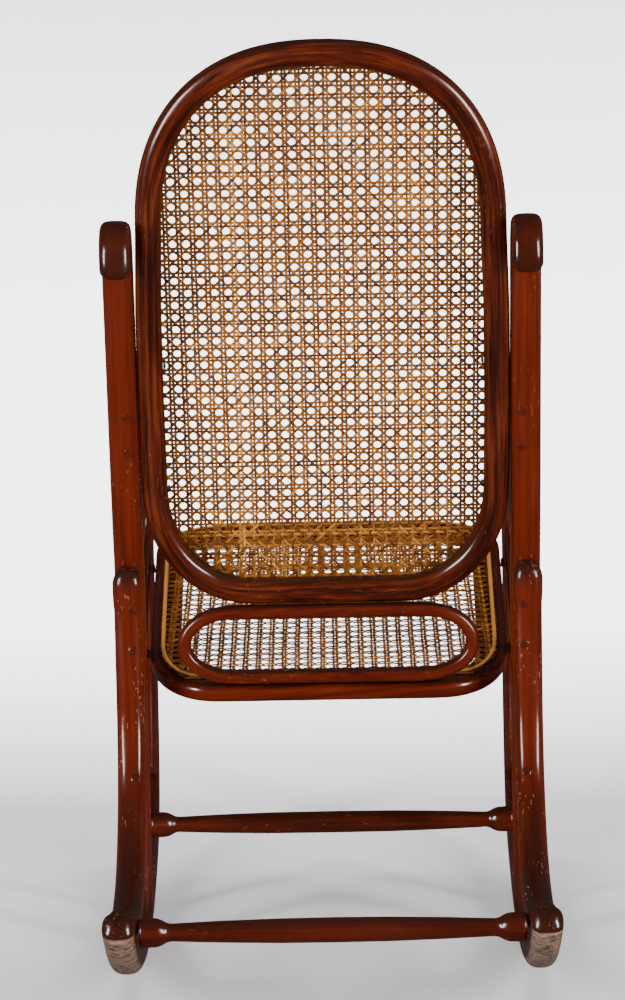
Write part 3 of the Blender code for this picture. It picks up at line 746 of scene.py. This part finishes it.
def build_loops():
    """The back frame, the seat frame and the ring: section, squareness, streaks and stain."""
    loops = (
        ("back_frame", back_point, back_outline(BACK_ROD / 2), BACK_ROD, BACK_ROD, 2.5, 2.7,
         0.5),
        ("seat_frame", seat_point, seat_outline(RAIL_WIDTH / 2), RAIL_HEIGHT, RAIL_WIDTH, 3.4, 1.1,
         0.0),
        ("lumbar_ring", ring_point, ring_outline(), RING_DEPTH, RING_ROD, 2.8, 1.1, 0.2),
    )
    for k, (node, place, outline, width, depth, power, streaks, stain) in enumerate(loops):
        centres = [place(u, w) for u, w in smooth_loop(outline)]
        normal = place(0, 0, 1) - place(0, 0, 0)
        bent_member(node + "_bend", centres, width, depth, power, 200 + 7 * k, node,
                    across=normal, closed=True, streaks=streaks, stain=stain)


# ---------------------------------------------------------------- cane
def clip_to(outline, origin, direction):
    """Where a straight line enters and leaves a convex outline, or None."""
    nearest_in, nearest_out = -1e9, 1e9
    count = len(outline)
    centre = outline.mean(axis=0)
    for k in range(count):
        a, b = outline[k], outline[(k + 1) % count]
        edge = b - a
        normal = np.array([-edge[1], edge[0]])
        if normal @ (centre - a) < 0:
            normal = -normal
        reach = normal @ (origin - a)
        rate = normal @ direction
        if abs(rate) < 1e-12:
            if reach < 0:
                return None
            continue
        t = -reach / rate
        if rate > 0:
            nearest_in = max(nearest_in, t)
        else:
            nearest_out = min(nearest_out, t)
    if nearest_out - nearest_in < 4 * MM:
        return None
    return nearest_in, nearest_out


def weave_height(kind, x, y):
    """How far a strand stands out of the panel; x and y count cells from a pair's middle."""
    near_x = np.cos(2 * math.pi * x)
    near_y = np.cos(2 * math.pi * y)
    sway = 0.55 * MM
    if kind == "up_first":
        return -sway * np.sin(2 * math.pi * y) * np.maximum(near_y, 0)
    if kind == "up_second":
        return sway * np.sin(2 * math.pi * y) * np.maximum(near_y, 0)
    if kind == "across_first":
        return sway * np.sin(2 * math.pi * x) * np.maximum(near_x, 0)
    if kind == "across_second":
        return -sway * np.sin(2 * math.pi * x) * np.maximum(near_x, 0)
    lift = 1.15 * MM * near_x
    return lift if kind == "rising" else -lift


def strand_lines(outline, pitch, kind):
    """The origin and direction of each strand of one set, and the middle of the outline."""
    low, high = outline.min(axis=0), outline.max(axis=0)
    middle = 0.5 * (low + high)
    du, dw = pitch
    columns = int((high[0] - low[0]) / du) + 3
    rows = int((high[1] - low[1]) / dw) + 3
    lines = []
    if kind.startswith("up"):
        shift = -PAIR_HALF if kind == "up_first" else PAIR_HALF
        for i in range(-columns, columns + 1):
            lines.append((np.array([middle[0] + (i + 0.5) * du + shift, middle[1]]),
                          np.array([0.0, 1.0])))
    elif kind.startswith("across"):
        shift = -PAIR_HALF if kind == "across_first" else PAIR_HALF
        for j in range(-rows, rows + 1):
            lines.append((np.array([middle[0], middle[1] + (j + 0.5) * dw + shift]),
                          np.array([1.0, 0.0])))
    else:
        slope = 1.0 if kind == "rising" else -1.0
        direction = np.array([du, slope * dw])
        direction = direction / np.linalg.norm(direction)
        for k in range(-columns - rows, columns + rows + 1):
            lines.append((np.array([middle[0] + (k + 0.5) * du, middle[1]]), direction))
    return lines, middle


def weave_set(place, outline, pitch, kinds, seed, level, pale_at=None):
    """Some of a panel's strands as one piece: vertices, faces, grain and tint."""
    rng = np.random.default_rng(seed)
    du, dw = pitch
    step = min(du, dw) / 6
    lens = np.array([(-0.5, 0.0), (-0.26, -0.42), (0.26, -0.42), (0.5, 0.0), (0.26, 0.42),
                     (-0.26, 0.42)])
    section = lens * np.array([STRAND_WIDTH, STRAND_THICK])
    half = outline[:, 0].max()
    verts, faces, grains, tints = [], [], [], []
    total = 0
    for kind in kinds:
        lines, middle = strand_lines(outline, pitch, kind)
        for origin, direction in lines:
            ends = clip_to(outline, origin, direction)
            wander = rng.normal(0, 0.22 * MM)
            phase = rng.uniform(0, 2 * math.pi)
            shade = 0.5 + rng.normal(0, 0.13)
            length_mark = rng.uniform(0, 9)
            if ends is None:
                continue
            count = max(int((ends[1] - ends[0]) / step), 3)
            t = np.linspace(ends[0], ends[1], count)
            flat = origin + direction * t[:, None]
            sideways = np.array([-direction[1], direction[0]])
            drift = wander + 0.25 * MM * np.sin(t * 2 * math.pi / (90 * MM) + phase)
            flat = flat + sideways * drift[:, None]
            x = (flat[:, 0] - middle[0]) / du + 0.5
            y = (flat[:, 1] - middle[1]) / dw + 0.5
            height = level + weave_height(kind, x, y)
            centres = np.array([place(u, w, h) for (u, w), h in zip(flat, height)])
            across = place(sideways[0], sideways[1]) - place(0, 0)
            v, f, g = tube(centres, across, section)
            if pale_at is not None and kind == "up_first" and abs(origin[0] - pale_at) < 0.5 * du:
                shade = 0.95
            edge = np.abs(flat[:, 0]) / half
            tint = np.repeat(shade - 0.16 * np.clip((edge - 0.6) / 0.4, 0, 1), len(section))
            g[:, 2] += length_mark
            faces += [tuple(i + total for i in face) for face in f]
            total += len(v)
            verts.append(v)
            grains.append(g)
            tints.append(tint)
    return np.vstack(verts), faces, np.vstack(grains), np.concatenate(tints)


def build_panel(node, place, outline, pitch, level, seed, pale_at=None):
    """A woven panel in four pieces: strands up, strands across and the two diagonals."""
    sets = (("up", ("up_first", "up_second")), ("across", ("across_first", "across_second")),
            ("rising", ("rising",)), ("falling", ("falling",)))
    for k, (word, kinds) in enumerate(sets):
        parts = weave_set(place, outline, pitch, kinds, seed + k, level, pale_at)
        verts, faces, grain, tint = parts
        name = "{}_strands_{}".format(node, word)
        material = cane_material(name + "_rattan", seed + k)
        add_piece(name, verts, faces, grain, material, node, tint)


def build_binder(node, place, outline, height, seed):
    """The flat strip of cane that covers the row of holes."""
    centres = [place(u, w, height) for u, w in smooth_loop(outline)]
    normal = place(0, 0, 1) - place(0, 0, 0)
    section = rounded_section(1.8 * MM, 4.5 * MM, 2.4, 12)
    verts, faces, grain = tube(centres, normal, section, closed=True)
    tint = np.full(len(verts), 0.82)
    add_piece(node + "_strip", verts, faces, grain, cane_material(node + "_rattan", seed), node,
              tint)


def build_cane():
    """Both panels and their binders."""
    panel = BACK_ROD / 2 + GAP + 1.0 * MM
    build_panel("back_cane", back_point, back_outline(BACK_ROD / 2 + 4 * MM), BACK_PITCH, panel,
                300, pale_at=92 * MM)
    build_binder("back_cane_binder", back_point, back_outline(BACK_ROD / 2 + 7.5 * MM),
                 BACK_ROD / 2 + 2 * GAP + 2.9 * MM, 320)
    top = RAIL_HEIGHT / 2 + GAP
    build_panel("seat_cane", seat_point, seat_cane_outline(12 * MM, 24 * MM), SEAT_PITCH,
                top + 1.0 * MM, 340)
    build_binder("seat_cane_binder", seat_point, seat_cane_outline(15 * MM, 27 * MM),
                 top + GAP + 2.9 * MM, 360)


# ---------------------------------------------------------------- stretchers and small parts
def build_stretcher(node, place, member, seed):
    """A turned stretcher with a bulb and a neck at each end, between members this wide."""
    s, z = place
    reach = HALF_SPACING - SPLAY * s - member / 2 - GAP
    half = spline(STRETCHER_SHAPE, per_span=5) * MM
    length = 2 * reach
    profile = [tuple(p) for p in half] + [(reach, 12.6 * MM)]
    profile += [(length - d, r) for d, r in half[::-1]]
    verts, faces, grain = turned(Vector((-reach, s + SHIFT_Y, z)), Vector((1, 0, 0)), profile,
                                 SIDES, slant=SPLAY)
    material = wood_material(node + "_wood", seed, stain=0.4)
    add_piece(node + "_turning", verts, faces, grain, material, node)


def finish_small_parts():
    """Better materials on the CAD's own washers and screws."""
    seed = 400
    for name, obj in sorted(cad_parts.items()):
        if name.endswith("_screw"):
            obj.material_slots[0].material = steel_material(name + "_steel", seed)
        elif name.endswith("_washer"):
            obj.material_slots[0].material = wood_material(name + "_wood", seed, own=False)
        seed += 3


# ---------------------------------------------------------------- studio
def build_camera():
    """Behind the chair, a little above its middle, looking slightly down with a slight roll."""
    turn = CAMERA_TURN
    forward = Vector((math.sin(turn) * math.cos(CAMERA_PITCH),
                      -math.cos(turn) * math.cos(CAMERA_PITCH), -math.sin(CAMERA_PITCH)))
    right = Vector((-math.cos(turn), -math.sin(turn), 0.0))
    up = right.cross(forward)
    tilted_right = right * math.cos(CAMERA_ROLL) + up * math.sin(CAMERA_ROLL)
    tilted_up = up * math.cos(CAMERA_ROLL) - right * math.sin(CAMERA_ROLL)
    data = bpy.data.cameras.new("camera")
    data.sensor_fit = "VERTICAL"
    data.sensor_height = SENSOR_HEIGHT
    data.lens = LENS
    data.clip_end = 60.0
    camera = bpy.data.objects.new("camera", data)
    bpy.context.scene.collection.objects.link(camera)
    axes = Matrix((tilted_right, tilted_up, -forward)).transposed().to_4x4()
    place = Vector((CAMERA_SHIFT - CAMERA_DISTANCE * math.sin(turn),
                    CAMERA_DISTANCE * math.cos(turn), CAMERA_HEIGHT))
    camera.matrix_world = Matrix.Translation(place) @ axes
    bpy.context.scene.camera = camera


def build_backdrop():
    """A pale round floor that curves up into a wall on every side."""
    profile = [(2.0, 0.0), (FLOOR_RADIUS, 0.0)]
    for i in range(1, 17):
        angle = math.pi / 2 * i / 16
        profile.append((FLOOR_RADIUS + WALL_BEND * math.sin(angle),
                        WALL_BEND * (1 - math.cos(angle))))
    profile.append((FLOOR_RADIUS + WALL_BEND, WALL_HEIGHT))
    sides = 96
    verts = [(0.0, 0.0, 0.0)]
    for radius, height in profile:
        for k in range(sides):
            turn = 2 * math.pi * k / sides
            verts.append((radius * math.cos(turn), radius * math.sin(turn), height))
    faces = [(0, 1 + k, 1 + (k + 1) % sides) for k in range(sides)]
    for i in range(len(profile) - 1):
        for k in range(sides):
            a, b = 1 + i * sides + k, 1 + i * sides + (k + 1) % sides
            faces.append((a, a + sides, b + sides, b))
    mesh = bpy.data.meshes.new("backdrop")
    mesh.from_pydata(verts, [], faces)
    mesh.polygons.foreach_set("use_smooth", [True] * len(faces))
    mesh.materials.append(backdrop_material())
    backdrop = bpy.data.objects.new("backdrop", mesh)
    backdrop.visible_glossy = False
    bpy.context.scene.collection.objects.link(backdrop)


def backdrop_material():
    """Matt paper that glows on the far side of the chair and a little on the other walls."""
    mat, tree, shader = new_material("backdrop_paper")
    place = add_node(tree, "ShaderNodeTexCoord").outputs["Object"]
    axes = add_node(tree, "ShaderNodeSeparateXYZ", {0: place}).outputs
    forward = remap(tree, axes[1], -0.7, -2.4)
    falling_off = remap(tree, axes[2], 0.3, 1.8, 1.0, 0.36)
    glow = combine(tree, "MULTIPLY", combine(tree, "MULTIPLY", forward, falling_off), WALL_GLOW)
    around = remap(tree, axes[2], 0.0, 2.0, 0.0, SIDE_GLOW)
    tree.links.new(combine(tree, "MAXIMUM", glow, around), shader.inputs["Emission Strength"])
    shader.inputs["Base Color"].default_value = (0.80, 0.80, 0.80, 1.0)
    shader.inputs["Roughness"].default_value = 0.9
    shader.inputs["Emission Color"].default_value = (0.95, 0.965, 1.0, 1.0)
    return mat


def add_softbox(name, place, target, width, height, power, reflected=True):
    """A rectangular studio light aimed at a point."""
    data = bpy.data.lights.new(name, "AREA")
    data.shape = "RECTANGLE"
    data.size = width
    data.size_y = height
    data.energy = power
    light = bpy.data.objects.new(name, data)
    light.visible_glossy = reflected
    bpy.context.scene.collection.objects.link(light)
    place, target = Vector(place), Vector(target)
    light.rotation_euler = (target - place).to_track_quat("-Z", "Y").to_euler()
    light.location = place


def build_lights():
    """A softbox on each side of the camera, and two lights overhead that nothing reflects."""
    add_softbox("softbox_left", (2.6, 2.3, 1.3), (0, 0, 0.5), 0.6, 1.7, 120)
    add_softbox("softbox_right", (-2.6, 2.3, 1.3), (0, 0, 0.5), 0.6, 1.7, 120)
    add_softbox("back_light", (0, -1.7, 2.8), (0, -0.2, 0.0), 1.5, 0.8, 56, reflected=False)
    add_softbox("fill_light", (0, 1.2, 3.2), (0, 0, 0.3), 1.8, 1.2, 24, reflected=False)
    world = bpy.data.worlds.new("studio")
    world.use_nodes = True
    world.node_tree.nodes["Background"].inputs[0].default_value = (0.93, 0.95, 1.0, 1.0)
    world.node_tree.nodes["Background"].inputs[1].default_value = ROOM_LIGHT
    bpy.context.scene.world = world


# ---------------------------------------------------------------- the chair
build_camera()
build_side(1, "left", 10)
build_side(-1, "right", 110)
build_loops()
build_cane()
build_stretcher("front_stretcher", FRONT_STRETCHER, BRACE_DEPTH, 500)
build_stretcher("rear_stretcher", REAR_STRETCHER, MEMBER_WIDTH, 510)
finish_small_parts()
build_backdrop()
build_lights()
